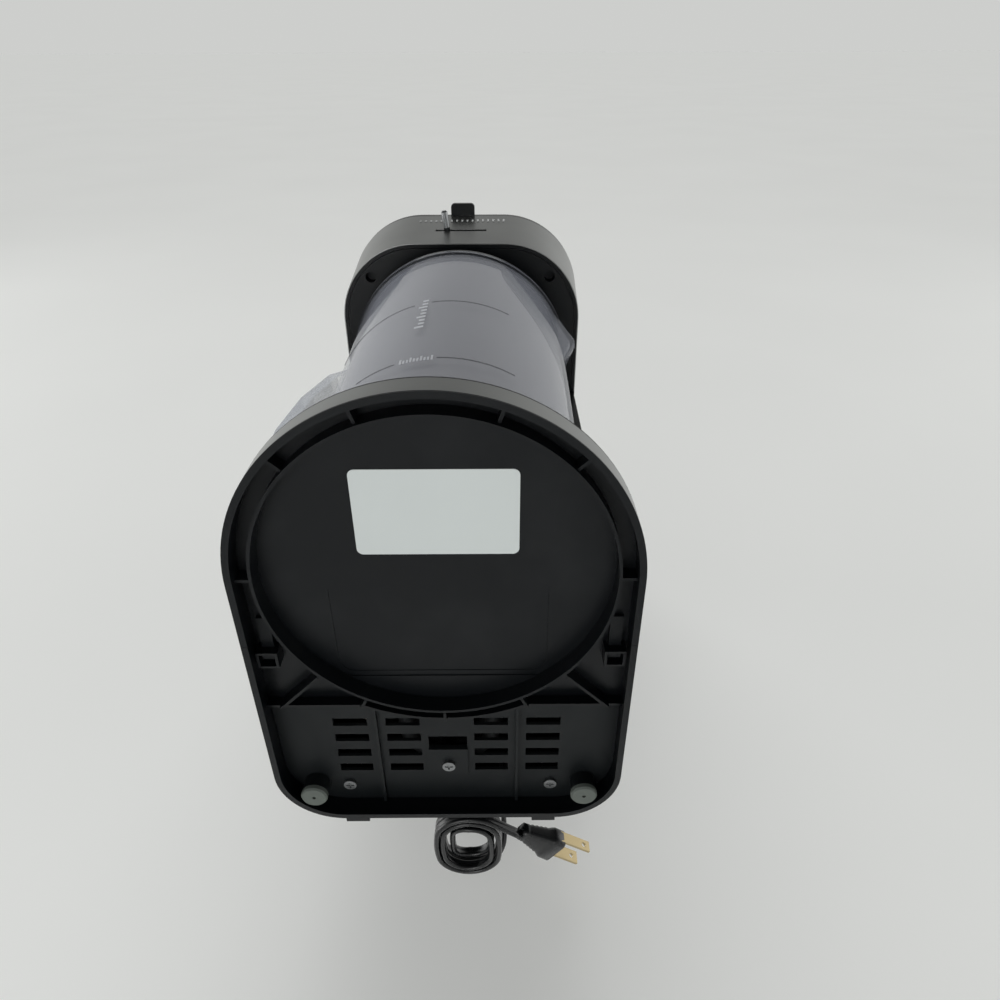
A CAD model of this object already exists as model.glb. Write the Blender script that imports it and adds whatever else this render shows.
"""Dresses the iced tea maker's solids and sets them in a pale studio.

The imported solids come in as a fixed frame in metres. Each class below makes the
pieces of one sub-assembly, or gives the frame's own solids their finish. The
camera looks up at the underside from below the floor, which only shows from above.
"""

import logging
import math
from dataclasses import dataclass, field
from enum import Enum
from typing import Sequence, Union

import bmesh
import bpy
from mathutils import Matrix, Vector


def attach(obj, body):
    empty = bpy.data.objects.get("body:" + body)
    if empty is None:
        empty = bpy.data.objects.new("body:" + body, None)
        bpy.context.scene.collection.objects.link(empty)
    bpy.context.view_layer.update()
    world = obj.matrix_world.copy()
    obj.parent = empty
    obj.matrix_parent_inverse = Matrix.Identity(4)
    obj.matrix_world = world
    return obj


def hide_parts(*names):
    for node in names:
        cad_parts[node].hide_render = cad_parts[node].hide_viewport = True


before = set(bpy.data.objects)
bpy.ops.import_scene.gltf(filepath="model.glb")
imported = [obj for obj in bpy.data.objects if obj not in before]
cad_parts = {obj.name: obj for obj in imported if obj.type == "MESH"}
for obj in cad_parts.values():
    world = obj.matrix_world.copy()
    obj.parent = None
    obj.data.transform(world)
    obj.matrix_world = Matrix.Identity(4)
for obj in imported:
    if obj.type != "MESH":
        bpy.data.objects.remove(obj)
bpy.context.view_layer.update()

LOG = logging.getLogger("tea_maker")
MM = 0.001
Colour = tuple[float, float, float]
Number = Union[int, float]


class Body(Enum):
    """The rigid bodies of the frame that get pieces of this scene's own."""

    HOUSING = "housing"
    PITCHER = "pitcher"


def srgb(red: int, green: int, blue: int) -> Colour:
    """Gives the linear colour of a display colour with channels from 0 to 255."""
    def linear(channel: int) -> float:
        """Undoes the display curve of one channel."""
        c = channel / 255
        return c / 12.92 if c <= 0.04045 else ((c + 0.055) / 1.055) ** 2.4

    return linear(red), linear(green), linear(blue)


def scaled(colour: Colour, factor: float) -> Colour:
    """Gives a colour made lighter or darker by a factor."""
    return colour[0] * factor, colour[1] * factor, colour[2] * factor


class Wire:
    """A number, colour or vector that runs between shader nodes."""

    def __init__(self, net: "Net", socket: bpy.types.NodeSocket) -> None:
        """Keeps the socket and the tree it belongs to."""
        self.net = net
        self.socket = socket

    def _math(self, operation: str, *values: "Wire | Number") -> "Wire":
        """Joins values through a Math node."""
        return self.net.node("ShaderNodeMath", {"operation": operation},
                             {i: v for i, v in enumerate(values)})

    def __add__(self, other: "Wire | Number") -> "Wire":
        """Adds."""
        return self._math("ADD", self, other)

    def __sub__(self, other: "Wire | Number") -> "Wire":
        """Takes away."""
        return self._math("SUBTRACT", self, other)

    def __rsub__(self, other: Number) -> "Wire":
        """Takes this from a number."""
        return self._math("SUBTRACT", other, self)

    def __mul__(self, other: "Wire | Number") -> "Wire":
        """Multiplies."""
        return self._math("MULTIPLY", self, other)

    def clamped(self) -> "Wire":
        """Keeps the value from 0 to 1."""
        return self.net.node("ShaderNodeClamp", {}, {"Value": self})

    def step(self, low: float, high: float) -> "Wire":
        """Rises smoothly from 0 at low to 1 at high."""
        return self.net.node(
            "ShaderNodeMapRange", {"interpolation_type": "SMOOTHSTEP"},
            {"Value": self, "From Min": low, "From Max": high})


class Net:
    """The node tree of one material."""

    def __init__(self, name: str) -> None:
        """Starts an empty material with nodes."""
        self.material = bpy.data.materials.new(name)
        self.material.use_nodes = True
        self.tree = self.material.node_tree
        self.tree.nodes.clear()

    def node(self, kind: str, settings: dict | None = None, inputs: dict | None = None,
             output: int | str = 0) -> Wire:
        """Adds a node of any kind.

        Args:
            kind: The node's type.
            settings: Properties set before the inputs.
            inputs: Values or wires for its sockets, by name or index.
            output: The output socket that is wanted, by name or index.

        Returns:
            The wire that leaves the node.
        """
        made = self.tree.nodes.new(kind)
        for key, value in (settings or {}).items():
            setattr(made, key, value)
        for key, value in (inputs or {}).items():
            self.feed(made.inputs[key], value)
        return Wire(self, made.outputs[output])

    def feed(self, socket: bpy.types.NodeSocket, value: "Wire | Number | Sequence") -> None:
        """Links a wire to a socket, or sets the socket's own value."""
        if isinstance(value, Wire):
            self.tree.links.new(value.socket, socket)
        elif isinstance(value, (int, float)):
            socket.default_value = value
        else:
            wide = len(socket.default_value)
            socket.default_value = (*value, 1.0)[:wide]

    def place(self, scale: Colour = (1.0, 1.0, 1.0)) -> Wire:
        """Gives Object coordinates, which are metres in the frame, stretched by a scale."""
        spot = self.node("ShaderNodeTexCoord", output="Object")
        return self.node("ShaderNodeMapping", {}, {"Vector": spot, "Scale": scale})

    def noise(self, scale: float, detail: float = 3.0, rough: float = 0.5,
              stretch: Colour = (1.0, 1.0, 1.0)) -> Wire:
        """Gives soft noise from 0 to 1."""
        return self.node("ShaderNodeTexNoise", {},
                         {"Vector": self.place(stretch), "Scale": scale,
                          "Detail": detail, "Roughness": rough})

    def mix(self, factor: "Wire | Number", first: "Wire | Colour",
            second: "Wire | Colour") -> Wire:
        """Mixes two colours."""
        made = self.tree.nodes.new("ShaderNodeMix")
        made.data_type = "RGBA"
        self.feed(made.inputs["Factor"], factor)
        self.feed(made.inputs[6], first)
        self.feed(made.inputs[7], second)
        return Wire(self, made.outputs[2])

    def bump(self, height: Wire, strength: float, distance: float) -> Wire:
        """Turns a height into a normal."""
        return self.node("ShaderNodeBump", {},
                         {"Height": height, "Strength": strength, "Distance": distance})

    def principled(self, **inputs: "Wire | Number | Sequence") -> Wire:
        """Adds the surface shader, with underscores in names read as spaces."""
        return self.node("ShaderNodeBsdfPrincipled", {},
                         {k.replace("_", " "): v for k, v in inputs.items()}, "BSDF")

    def finish(self, surface: Wire) -> bpy.types.Material:
        """Puts a shader on the surface and gives the material."""
        out = self.tree.nodes.new("ShaderNodeOutputMaterial")
        self.tree.links.new(surface.socket, out.inputs["Surface"])
        return self.material


@dataclass(frozen=True)
class Moulded:
    """A moulded or coated surface with a fine grain and a little dust.

    Attributes:
        name: Name of the material.
        colour: Linear base colour.
        roughness: Middle roughness.
        grain: Size of the grain in metres.
        relief: Height of the grain in metres.
        uneven: How far the colour wanders, as a share of it.
        metallic: 1 for bare metal.
        coat: Weight of a clear coat.
        gloss: Specular level of the surface.
        dust: Share of the surface under dust specks.
    """

    name: str
    colour: Colour
    roughness: float
    grain: float = 0.0006
    relief: float = 0.00002
    uneven: float = 0.15
    metallic: float = 0.0
    coat: float = 0.0
    gloss: float = 0.5
    dust: float = 0.0

    def build(self) -> bpy.types.Material:
        """Makes the material."""
        net = Net(self.name)
        fine = net.noise(1 / self.grain, 2.0)
        broad = net.noise(28.0, 3.0)
        dark, light = scaled(self.colour, 1 - self.uneven), scaled(self.colour, 1 + self.uneven)
        colour = net.mix(broad, dark, light)
        rough = (broad - 0.5) * 0.12 + self.roughness
        if self.dust:
            specks = net.noise(420.0, 4.0, 0.7).step(0.80 - self.dust, 0.84 - self.dust)
            haze = broad.step(0.45, 0.8) * (self.dust * 0.6)
            spread = (specks * 0.35 + haze).clamped()
            colour = net.mix(spread, colour, DUST)
            rough = spread * 0.4 + rough
        return net.finish(net.principled(
            Base_Color=colour, Roughness=rough, Metallic=self.metallic,
            Coat_Weight=self.coat, Coat_Roughness=0.08, Specular_IOR_Level=self.gloss,
            Normal=net.bump(fine, 0.4, self.relief)))


@dataclass(frozen=True)
class Brushed:
    """Sheet metal with fine lines along the part.

    Attributes:
        name: Name of the material.
        colour: Linear base colour.
        roughness: Middle roughness.
        stretch: Scale of the lines along each axis.
    """

    name: str
    colour: Colour
    roughness: float
    stretch: Colour = (6.0, 6.0, 2600.0)

    def build(self) -> bpy.types.Material:
        """Makes the material."""
        net = Net(self.name)
        lines = net.noise(1.0, 3.0, 0.6, self.stretch)
        smudge = net.noise(22.0, 2.0)
        colour = net.mix(lines, scaled(self.colour, 0.86), scaled(self.colour, 1.14))
        rough = (lines - 0.5) * 0.12 + (smudge - 0.5) * 0.1 + self.roughness
        return net.finish(net.principled(
            Base_Color=colour, Roughness=rough, Metallic=1.0,
            Normal=net.bump(lines, 0.06, 0.00001)))


@dataclass(frozen=True)
class Clear:
    """Clear or tinted moulded plastic, seen as a thin film over what is behind it.

    Attributes:
        name: Name of the material.
        colour: Linear tint.
        roughness: 0 for polished.
        opacity: Share of the surface that is seen as a solid tint, face on.
        edge: Share that is seen as a solid tint at a glancing angle.
    """

    name: str
    colour: Colour
    roughness: float
    opacity: float = 0.2
    edge: float = 0.6

    def build(self) -> bpy.types.Material:
        """Makes the material."""
        net = Net(self.name)
        ripple = net.noise(55.0, 2.0)
        glance = net.node("ShaderNodeLayerWeight", {}, {"Blend": 0.32}, "Facing")
        share = glance * (self.edge - self.opacity) + (ripple - 0.5) * 0.04 + self.opacity
        return net.finish(net.principled(
            Base_Color=self.colour, Roughness=(ripple - 0.5) * 0.04 + self.roughness + 0.02,
            Alpha=share.clamped(), IOR=1.5, Normal=net.bump(ripple, 0.12, 0.0002)))


DUST = srgb(120, 122, 120)
BLACK_GLOSS = Moulded("black_gloss", srgb(8, 11, 14), 0.34, relief=0.00001, gloss=0.26)
BLACK_UNDER = Moulded("black_under", srgb(12, 15, 18), 0.42, gloss=0.22, dust=0.04)
BLACK_MATT = Moulded("black_matt", srgb(14, 18, 20), 0.5, gloss=0.24, dust=0.04)
BLACK_INSIDE = Moulded("black_inside", srgb(12, 14, 16), 0.6, gloss=0.2)
DARK_BAND = Brushed("dark_band", srgb(150, 151, 150), 0.38)
LABEL = Moulded("label_foil", srgb(214, 220, 219), 0.42, metallic=0.1, uneven=0.03)
FOOT = Moulded("foot_rubber", srgb(96, 102, 97), 0.7, relief=0.00005, gloss=0.3)
ZINC = Moulded("zinc", srgb(140, 142, 143), 0.34, metallic=1.0, uneven=0.2)
STEEL = Brushed("stainless", srgb(170, 171, 172), 0.3, (60.0, 60.0, 900.0))
CAST = Moulded("cast_alloy", srgb(58, 60, 61), 0.6, metallic=0.8)
SILICONE = Moulded("silicone", srgb(150, 148, 140), 0.5)
CORD = Moulded("cord_skin", srgb(12, 14, 16), 0.27, relief=0.00001, gloss=0.5)
BRASS = Moulded("prong_brass", srgb(176, 160, 124), 0.3, metallic=1.0)
LAMP = Moulded("lamp_red", srgb(170, 30, 22), 0.25, coat=0.4)
WIRE = Moulded("lead_skin", srgb(120, 120, 124), 0.45)
TANK = Clear("tank_clear", srgb(60, 64, 70), 0.12, 0.5, 0.8)
PITCHER = Clear("pitcher_clear", srgb(184, 188, 200), 0.04, 0.02, 0.5)
HANDLE = Clear("handle_clear", srgb(166, 174, 188), 0.04, 0.14, 0.8)
FROSTED = Moulded("frosted_sleeve", srgb(134, 133, 131), 0.55, uneven=0.03, gloss=0.25)
PRINT = Moulded("pale_print", srgb(196, 198, 198), 0.5, uneven=0.05)
MARK = Clear("level_mark", srgb(92, 94, 100), 0.2, 0.55, 0.8)
GLINT = Clear("mark_glint", srgb(214, 216, 222), 0.1, 0.45, 0.8)

NODE_FINISHES: dict[str, object] = {
    "base_tray": BLACK_UNDER, "base_band": DARK_BAND, "rating_label": LABEL,
    "rear_housing": BLACK_GLOSS, "column_front_panel": BLACK_GLOSS, "rear_cover": BLACK_MATT,
    "cover_screws": ZINC, "rubber_feet": FOOT, "head_shell": BLACK_GLOSS, "head_band": DARK_BAND,
    "head_bottom_plate": BLACK_GLOSS, "head_screws": BLACK_MATT, "head_deck": BLACK_MATT,
    "lid": BLACK_GLOSS, "lid_hinge_pins": STEEL, "water_tank": TANK, "tank_floor": TANK,
    "tank_seal": SILICONE,
    "check_valve": SILICONE, "check_ball": STEEL, "inlet_hose": SILICONE, "heater": CAST,
    "heater_bracket": CAST, "thermostat": CAST, "thermal_fuse": SILICONE,
    "outlet_hose": SILICONE, "riser_pipe": STEEL, "spray_head": BLACK_MATT,
    "brew_basket": BLACK_MATT, "filter_mesh": STEEL, "strength_lever": BLACK_MATT,
    "lever_knob": ZINC, "switch_body": BLACK_INSIDE, "power_button": BLACK_GLOSS,
    "indicator_lamp": LAMP, "inner_leads": WIRE, "pitcher_shell": PITCHER,
    "pitcher_sleeve": FROSTED, "pitcher_handle": HANDLE, "pitcher_lid": BLACK_GLOSS,
    "strain_relief": CORD, "cord_lead": CORD, "cord_hank": CORD, "cord_tail": CORD,
    "plug_body": CORD, "plug_prongs": BRASS,
}


class Workshop:
    """Turns mesh data into pieces, and makes each material once."""

    def __init__(self) -> None:
        """Starts with no materials made."""
        self.made: dict[str, bpy.types.Material] = {}

    def material(self, finish: "Moulded | Brushed | Clear") -> bpy.types.Material:
        """Gives a finish's material, made once."""
        if finish.name not in self.made:
            self.made[finish.name] = finish.build()
        return self.made[finish.name]

    def piece(self, name: str, form: bmesh.types.BMesh, finish: "Moulded | Brushed | Clear",
              body: Body, smooth: bool = True) -> bpy.types.Object:
        """Makes a piece of a form.

        Args:
            name: Name of the piece.
            form: Its mesh in millimetres, which is used up.
            finish: Its finish.
            body: The body that it moves with.
            smooth: Whether its faces are shaded smooth.

        Returns:
            The object.
        """
        bmesh.ops.scale(form, vec=(MM, MM, MM), verts=form.verts)
        bmesh.ops.recalc_face_normals(form, faces=form.faces)
        for face in form.faces:
            face.smooth = smooth
        mesh = bpy.data.meshes.new(name)
        form.to_mesh(mesh)
        form.free()
        mesh.materials.append(self.material(finish))
        made = bpy.data.objects.new(name, mesh)
        bpy.context.scene.collection.objects.link(made)
        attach(made, body.value)
        return made


def skin(form: bmesh.types.BMesh, rings: Sequence[Sequence[Vector]]) -> None:
    """Joins closed rings of points into one closed skin with flat ends."""
    rows = [[form.verts.new(point) for point in ring] for ring in rings]
    for row, ahead in zip(rows, rows[1:]):
        for k in range(len(row)):
            after = (k + 1) % len(row)
            form.faces.new((row[k], row[after], ahead[after], ahead[k]))
    form.faces.new(rows[0][::-1])
    form.faces.new(rows[-1])


@dataclass(frozen=True)
class Cord:
    """The flat twin lead: down from its strain relief, round its hank and on to the plug.

    Sizes are in millimetres, as the part's source has them.

    Attributes:
        lead: Points from the strain relief to the hank, chosen by hand.
        width: Width of the lead, which stands upright.
        thick: Thickness of one core.
        centre: Middle of the hank.
        straight: How much longer its sides are than its ends.
        out_r: Radius of the outer turn.
        pitch: Distance between turns.
        turns: Turns in each layer.
        dip: How far the climb between the layers draws in.
        layer: Height of a layer.
        floor: Height of the lower layer's middle.
        span: First and last place along the turns.
        steps: Pieces of the hank's line.
        tail: Length on to the plug.
        soften: How gently a turn goes over into its straight.
        outline: Angles of the points on each core's outline.
    """

    lead: tuple[Colour, ...] = (
        (30, 189, 22), (30, 192, 22), (30, 195, 22), (30, 198, 20.9), (30.2, 201, 18.6),
        (30.3, 204.2, 15.8), (29.8, 207.8, 13.2), (28.2, 211.8, 11.2), (25.7, 215.4, 10))
    width: float = 6.0
    thick: float = 3.2
    centre: tuple[float, float] = (10.0, 196.0)
    straight: float = 6.0
    out_r: float = 21.0
    pitch: float = 3.65
    turns: float = 2.5
    dip: float = 1.9
    layer: float = 6.45
    floor: float = 3.02
    span: tuple[float, float] = (0.135, 4.865)
    steps: int = 228
    tail: float = 20.0
    soften: float = 0.35
    outline: tuple[int, ...] = (-38, -15, 10, 35, 62, 90, 118, 145, 170, 195, 218)

    def hank_point(self, t: float) -> Vector:
        """Gives the line's point after t turns."""
        bend = min(max((0.75 - abs(t - self.turns)) * 2, 0), 1)
        radius = self.out_r - self.pitch * min(t, 2 * self.turns - t) - self.dip * bend
        height = self.floor + self.layer * (1 - min(max(2 * (t - self.turns) + 0.5, 0), 1))
        turn = 2 * math.pi * t
        side = math.sin(turn)
        bow = self.straight * side / max(abs(side), self.soften)
        return Vector((self.centre[0] + radius * math.cos(turn),
                       self.centre[1] + radius * side + bow, height))

    def line(self) -> list[Vector]:
        """Gives the whole line from the strain relief to the plug."""
        first, last = self.span
        hank = [self.hank_point(first + (last - first) * i / self.steps)
                for i in range(self.steps + 1)]
        lead = [Vector(p) for p in self.lead] + [hank[0]]
        eased: list[Vector] = []
        for i in range(len(lead) - 1):
            before, a, b = lead[max(i - 1, 0)], lead[i], lead[i + 1]
            after = lead[i + 2] if i + 2 < len(lead) else hank[2]
            for k in range(3):
                u = k / 3
                eased.append(0.5 * ((2 * a) + (b - before) * u
                                    + (2 * before - 5 * a + 4 * b - after) * u ** 2
                                    + (3 * a - before - 3 * b + after) * u ** 3))
        way = hank[-1] - hank[-2]
        way.z = 0
        way.normalize()
        return eased + hank + [hank[-1] + way * (self.tail * i / 4) for i in range(1, 5)]

    def section(self) -> list[tuple[float, float]]:
        """Gives the twin outline: two round cores with a groove between them."""
        core = self.thick / 2
        offset = self.width / 2 - core
        half = [(core * math.cos(a), offset + core * math.sin(a))
                for a in map(math.radians, self.outline)]
        return half + [(-x, -y) for x, y in half]

    def build(self, shop: Workshop) -> None:
        line = self.line()
        rings = []
        for i, point in enumerate(line):
            way = (line[min(i + 1, len(line) - 1)] - line[max(i - 1, 0)]).normalized()
            across = Vector((way.y, -way.x, 0)).normalized()
            up = across.cross(way)
            rings.append([point + across * x + up * y for x, y in self.section()])
        form = bmesh.new()
        skin(form, rings)
        lead = shop.piece("power_cord", form, CORD, Body.HOUSING)
        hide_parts("cord_lead", "cord_hank", "cord_tail")
        plug = Plug().build(shop, line[-1], (line[-1] - line[-2]).normalized())
        length = sum((b - a).length for a, b in zip(line, line[1:])) * MM
        LOG.info("cord length %.4f m", length)
        tuple(line[0] * MM)
        [tuple(p * MM) for p in line]


@dataclass(frozen=True)
class Plug:
    """The moulded plug: a tapered grip with ribs, wider and flat at its face.

    Attributes:
        length: From the lead to the face.
        back: Width and height at the lead.
        face: Width and height at the face.
        ribs: Number of grip ribs.
        middle: Height of the plug's middle over the floor.
        corner: Share of the lesser side that a corner takes.
        grip: Start and length of the ribbed part.
        grown: Share of the way to the face's size that the grip covers.
        pinch: How much narrower a groove is.
        shoulder: Place, width and height before the face's full size.
        full: Where the face's full size starts.
        bevel: Length and narrowing of the face's edge.
    """

    length: float = 26.0
    back: tuple[float, float] = (9.0, 7.6)
    face: tuple[float, float] = (20.0, 11.0)
    ribs: int = 5
    middle: float = 5.6
    corner: float = 0.3
    grip: tuple[float, float] = (1.5, 15.0)
    grown: float = 0.72
    pinch: float = 0.7
    shoulder: tuple[float, float, float] = (18.4, 19.4, 10.8)
    full: float = 19.2
    bevel: tuple[float, float] = (0.8, 1.4)

    def ring(self, at: float, width: float, height: float) -> list[tuple[float, float, float]]:
        """Gives a rounded outline across the plug."""
        corner = min(width, height) * self.corner
        points = []
        for k, (sx, sz) in enumerate(((1, 1), (-1, 1), (-1, -1), (1, -1))):
            for i in range(5):
                turn = math.radians(90 * k + 22.5 * i)
                points.append((at, sx * (width / 2 - corner) + corner * math.cos(turn),
                               self.middle + sz * (height / 2 - corner)
                               + corner * math.sin(turn)))
        return points

    def build(self, shop: Workshop, start: Vector, way: Vector) -> bpy.types.Object:
        """Makes the plug at the end of the lead, lying flat."""
        turn = Matrix.Rotation(math.atan2(way.y, way.x), 4, "Z")
        place = Matrix.Translation((start.x, start.y, 0)) @ turn
        stops: list[tuple[float, float, float]] = [(0.1, *self.back)]
        for i in range(self.ribs * 2):
            share = (i + 1) / (self.ribs * 2 + 1)
            pinch = self.pinch if i % 2 else 0.0
            grow = self.grown * share
            stops.append((self.grip[0] + self.grip[1] * share,
                          self.back[0] + (self.face[0] - self.back[0]) * grow - pinch,
                          self.back[1] + (self.face[1] - self.back[1]) * grow - pinch))
        cut, narrower = self.bevel
        stops += [self.shoulder, (self.full, *self.face), (self.length - cut, *self.face),
                  (self.length, self.face[0] - narrower, self.face[1] - narrower)]
        form = bmesh.new()
        skin(form, [[place @ Vector(p) for p in self.ring(at, w, h)] for at, w, h in stops])
        plug = shop.piece("plug_grip", form, CORD, Body.HOUSING)
        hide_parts("plug_body")
        return plug


@dataclass(frozen=True)
class LevelMarks:
    """Fine level lines and generic scale strokes moulded on the pitcher's wall.

    Attributes:
        foot_r: Outer radius of the pitcher at its foot.
        top_r: Outer radius at its rim.
        foot_z: Height of the foot.
        height: Height of the pitcher.
        proud: How far a mark stands out.
        lines: Height of each level line, and the angles that its parts span.
        line_half: Half the height of a level line.
        gap: Distance of a mark's inner face from the wall.
        long_each: Every so many strokes, one is longer.
        rungs: Number of strokes that stand over each other.
        rung_z: Heights of the first one's edges.
        rung_pitch: Distance from one to the next.
        rung_span: Angles of its ends.
        rung_extra: How much further a longer one reaches.
        ticks: Number of strokes that stand side by side.
        tick_z: Heights of the first one's ends.
        tick_pitch: Angle from one to the next.
        tick_span: Angles of its sides.
        tick_extra: How much taller a longer one is.
    """

    foot_r: float = 70.4
    top_r: float = 76.6
    foot_z: float = 14.2
    height: float = 258.0
    proud: float = 0.25
    lines: tuple = ((170.0, ((-62, -16), (-8, 27.5))), (86.0, ((-36, -18.5), (-1.5, 30))))
    line_half: float = 0.3
    gap: float = 0.02
    long_each: int = 3
    rungs: int = 9
    rung_z: tuple[float, float] = (130.0, 132.6)
    rung_pitch: float = 5.3
    rung_span: tuple[float, float] = (-12.2, -9.6)
    rung_extra: float = 1.4
    ticks: int = 10
    tick_z: tuple[float, float] = (83.6, 87.4)
    tick_pitch: float = 1.4
    tick_span: tuple[float, float] = (-16.4, -15.6)
    tick_extra: float = 1.8

    def radius(self, z: float) -> float:
        """Gives the wall's outer radius at a height."""
        return self.foot_r + (self.top_r - self.foot_r) * (z - self.foot_z) / self.height

    def bar(self, form: bmesh.types.BMesh, z0: float, z1: float, a0: float, a1: float) -> None:
        """Adds a low bar between two heights and two angles from the front."""
        count = max(1, int(abs(a1 - a0) / 2))
        rings = []
        for i in range(count + 1):
            turn = math.radians(a0 + (a1 - a0) * i / count)
            out = Vector((math.sin(turn), -math.cos(turn), 0))
            corners = ((z0, self.gap), (z0, self.proud), (z1, self.proud), (z1, self.gap))
            rings.append([out * (self.radius(z) + lift) + Vector((0, 0, z))
                          for z, lift in corners])
        skin(form, rings)

    def build(self, shop: Workshop) -> None:
        """Makes the lines and the strokes."""
        form = bmesh.new()
        for z, spans in self.lines:
            for a0, a1 in spans:
                self.bar(form, z - self.line_half, z + self.line_half, a0, a1)
        shop.piece("pitcher_level_lines", form, MARK, Body.PITCHER, smooth=False)
        form = bmesh.new()
        for k in range(self.rungs):
            extra = (k % self.long_each == 0) * self.rung_extra
            low, high = (z + self.rung_pitch * k for z in self.rung_z)
            self.bar(form, low, high, self.rung_span[0] - extra, self.rung_span[1])
        for k in range(self.ticks):
            extra = (k % self.long_each == 0) * self.tick_extra
            left, right = (a + self.tick_pitch * k for a in self.tick_span)
            self.bar(form, self.tick_z[0], self.tick_z[1] + extra, left, right)
        shop.piece("pitcher_scale_strokes", form, GLINT, Body.PITCHER, smooth=False)


@dataclass(frozen=True)
class StrengthMarks:
    """A row of plain strokes over the slot, taller towards the right.

    Attributes:
        front: Distance of the band's face ahead of the axis at the strokes' height.
        lean: How far the face leans out for each millimetre up.
        z: Height of the strokes' lower ends.
        reach: Half of the row's width.
        count: Number of strokes.
        low: Height of the first stroke.
        growth: How much taller the last stroke is.
        half: Half the width of a stroke.
        proud: How far a stroke stands out.
    """

    front: float = 79.95
    lean: float = 4.2 / 76
    z: float = 358.5
    reach: float = 33.0
    count: int = 17
    low: float = 3.0
    growth: float = 4.0
    half: float = 0.7
    proud: float = 0.12

    def build(self, shop: Workshop) -> None:
        """Makes the strokes."""
        form = bmesh.new()
        for k in range(self.count):
            x = -self.reach + 2 * self.reach * k / (self.count - 1)
            tall = self.low + self.growth * k / (self.count - 1)
            y0 = -self.front
            y1 = y0 - self.lean * tall
            ring = ((x - self.half, y0, self.z), (x + self.half, y0, self.z),
                    (x + self.half, y1, self.z + tall), (x - self.half, y1, self.z + tall))
            out = Vector((0, self.proud, 0))
            skin(form, [[Vector(p) for p in ring], [Vector(p) - out for p in ring]])
        shop.piece("strength_strokes", form, PRINT, Body.HOUSING, smooth=False)


class FrameDresser:
    """Gives the frame's own solids their finishes."""

    def __init__(self, shop: Workshop) -> None:
        """Keeps the workshop that makes the materials."""
        self.shop = shop

    def dress(self) -> None:
        """Puts a finish on every solid of the frame."""
        for name, finish in NODE_FINISHES.items():
            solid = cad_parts.get(name)
            if solid is None:
                LOG.warning("no solid named %s", name)
                continue
            solid = bpy.data.objects[solid] if isinstance(solid, str) else solid
            for holder in solid.material_slots:
                holder.material = self.shop.material(finish)
            LOG.info("dressed %s in %s", name, finish.name)


@dataclass
class PhotoCamera:
    """The camera that took the photograph, found from the base rim and the head.

    Attributes:
        focal: Focal length as a share of the picture's side.
        place: Where it stands, in millimetres.
        azimuth: Turn round the object, in degrees.
        elevation: Height above the horizon, in degrees.
        roll: Turn about its own line of sight, in degrees.
    """

    focal: float = 0.732775
    place: Colour = (27.7472, -203.4170, -251.9799)
    azimuth: float = -0.22726
    elevation: float = -57.75331
    roll: float = -0.46930
    sensor: float = 36.0

    def build(self) -> bpy.types.Object:
        """Makes the camera and makes it the scene's."""
        az, el, ro = (math.radians(a) for a in (self.azimuth, self.elevation, self.roll))
        back = Vector((math.sin(az) * math.cos(el), -math.cos(az) * math.cos(el), math.sin(el)))
        right = (-back).cross(Vector((0, 0, 1))).normalized()
        up = right.cross(-back)
        right, up = (right * math.cos(ro) + up * math.sin(ro),
                     up * math.cos(ro) - right * math.sin(ro))
        turn = Matrix((right, up, back)).transposed().to_4x4()
        data = bpy.data.cameras.new("photo_camera")
        data.sensor_width = self.sensor
        data.lens = self.sensor * self.focal
        data.clip_start, data.clip_end = 0.01, 50.0
        camera = bpy.data.objects.new("photo_camera", data)
        camera.matrix_world = Matrix.Translation(Vector(self.place) * MM) @ turn
        bpy.context.scene.collection.objects.link(camera)
        bpy.context.scene.camera = camera
        return camera


@dataclass(frozen=True)
class Lamp:
    """One square lamp: its name, place and size in metres, and power in watts."""

    name: str
    place: Colour
    size: float
    power: float


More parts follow.
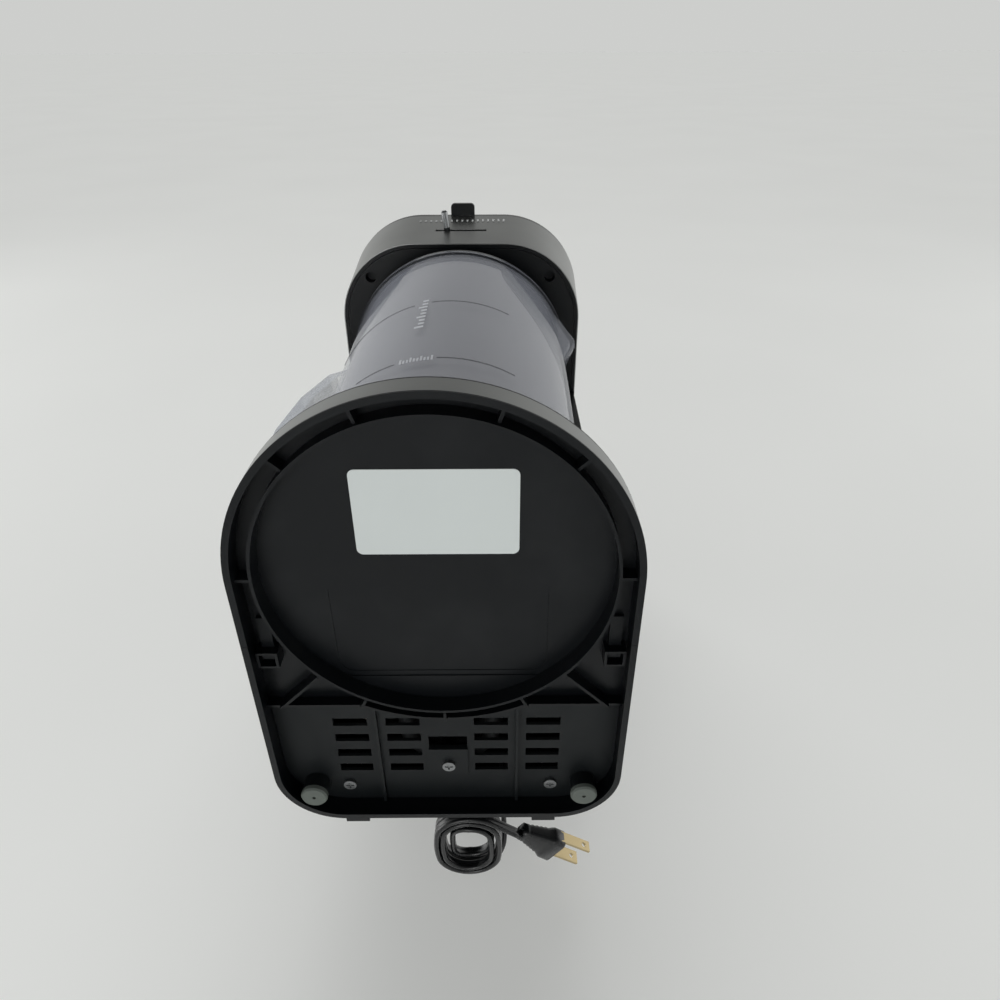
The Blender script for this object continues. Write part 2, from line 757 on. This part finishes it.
@dataclass
class Studio:
    """The pale floor, the backdrop, the lamps and the world.

    Attributes:
        backdrop_y: Distance of the backdrop behind the brewing axis, in metres.
        reach: Half of the floor's and the backdrop's width, in metres.
        pale: The colour that the ground is seen in.
        own: Share of the backdrop's colour that needs no lamp.
        far: Strength at which the world is seen beyond the backdrop.
        sun_way: The way that the soft distant light travels.
        sun_power: Its strength.
        sun_spread: Its angle.
        lamps: The square lamps round the object.
        aim: The point that they are turned to.
        room: The world's light, from the direction's Y and strength of the dim end
            before the object to those of the bright end.
    """

    backdrop_y: float = 0.234
    reach: float = 30.0
    pale: Colour = field(default_factory=lambda: srgb(209, 210, 208))
    own: float = 0.38
    far: float = 0.96
    sun_way: Colour = (0.10, 0.62, -0.78)
    sun_power: float = 1.8
    sun_spread: float = 0.9
    lamps: tuple[Lamp, ...] = (
        Lamp("left_lamp", (-1.7, 0.1, 0.5), 1.3, 12.0),
        Lamp("right_lamp", (1.7, 0.1, 0.5), 1.3, 6.0),
        Lamp("low_lamp", (-0.5, -0.3, -1.6), 1.1, 8.0))
    aim: Colour = (0, 0, 0.18)
    room: tuple[tuple[str, float], ...] = (
        ("From Min", -0.56), ("From Max", -0.24), ("To Min", 0.2), ("To Max", 1.05))

    def build(self) -> None:
        """Makes the stage and the light."""
        self._sheet("floor", Matrix.Identity(4), 0.0)
        wall = Matrix.Translation((0, self.backdrop_y, 0)) @ Matrix.Rotation(math.pi / 2, 4, "X")
        self._sheet("backdrop", wall, self.own)
        self._world()
        self._sun()
        for lamp in self.lamps:
            self._hang(lamp)
        bpy.context.scene.view_settings.view_transform = "Standard"

    def _sheet(self, name: str, place: Matrix, own: float) -> None:
        """Lays one large sheet that is only seen from its front."""
        form = bmesh.new()
        bmesh.ops.create_grid(form, x_segments=1, y_segments=1, size=self.reach, matrix=place)
        mesh = bpy.data.meshes.new(name)
        form.to_mesh(mesh)
        form.free()
        net = Net(name)
        grain = net.noise(3.0, 2.0)
        colour = net.mix(grain, scaled(self.pale, 0.98), scaled(self.pale, 1.02))
        seen = net.node("ShaderNodeLightPath", output="Is Camera Ray")
        behind = net.node("ShaderNodeNewGeometry", output="Backfacing")
        paint = net.principled(Base_Color=colour, Roughness=0.9, Specular_IOR_Level=0.0,
                               Emission_Color=colour, Emission_Strength=own)
        clear = net.node("ShaderNodeBsdfTransparent")
        share = seen * (1 - behind)
        blend = net.node("ShaderNodeMixShader", {}, {0: share, 1: clear, 2: paint})
        mesh.materials.append(net.finish(blend))
        sheet = bpy.data.objects.new(name, mesh)
        bpy.context.scene.collection.objects.link(sheet)

    def _world(self) -> None:
        """Lights from a pale ground behind the object and a dimmer room before it."""
        world = bpy.data.worlds.new("studio")
        world.use_nodes = True
        bpy.context.scene.world = world
        tree = world.node_tree
        shade = tree.nodes["Background"]
        shade.inputs["Color"].default_value = (*self.pale, 1.0)
        way = tree.nodes.new("ShaderNodeTexCoord")
        split = tree.nodes.new("ShaderNodeSeparateXYZ")
        tree.links.new(way.outputs["Generated"], split.inputs[0])
        dim = tree.nodes.new("ShaderNodeMapRange")
        for key, value in self.room:
            dim.inputs[key].default_value = value
        tree.links.new(split.outputs["Y"], dim.inputs["Value"])
        path = tree.nodes.new("ShaderNodeLightPath")
        level = tree.nodes.new("ShaderNodeMix")
        level.inputs["B"].default_value = self.far
        tree.links.new(path.outputs["Is Camera Ray"], level.inputs["Factor"])
        tree.links.new(dim.outputs[0], level.inputs["A"])
        tree.links.new(level.outputs[0], shade.inputs["Strength"])

    def _sun(self) -> None:
        """Adds one soft distant light, which no glossy surface mirrors."""
        data = bpy.data.lights.new("sky_light", "SUN")
        data.energy = self.sun_power
        data.angle = self.sun_spread
        lamp = bpy.data.objects.new("sky_light", data)
        lamp.visible_glossy = False
        lamp.matrix_world = Vector(self.sun_way).to_track_quat("-Z", "Y").to_matrix().to_4x4()
        bpy.context.scene.collection.objects.link(lamp)

    def _hang(self, lamp: Lamp) -> None:
        """Hangs one lamp, turned to the object's middle."""
        data = bpy.data.lights.new(lamp.name, "AREA")
        data.size = lamp.size
        data.energy = lamp.power
        hung = bpy.data.objects.new(lamp.name, data)
        way = Vector(self.aim) - Vector(lamp.place)
        turn = way.to_track_quat("-Z", "Y").to_matrix().to_4x4()
        hung.matrix_world = Matrix.Translation(lamp.place) @ turn
        bpy.context.scene.collection.objects.link(hung)


def main() -> None:
    """Builds everything in order."""
    logging.basicConfig(level=logging.INFO, format="%(name)s: %(message)s")
    PhotoCamera().build()
    shop = Workshop()
    Cord().build(shop)
    Studio().build()
    FrameDresser(shop).dress()
    LevelMarks().build(shop)
    StrengthMarks().build(shop)


if __name__ == "__main__":
    main()
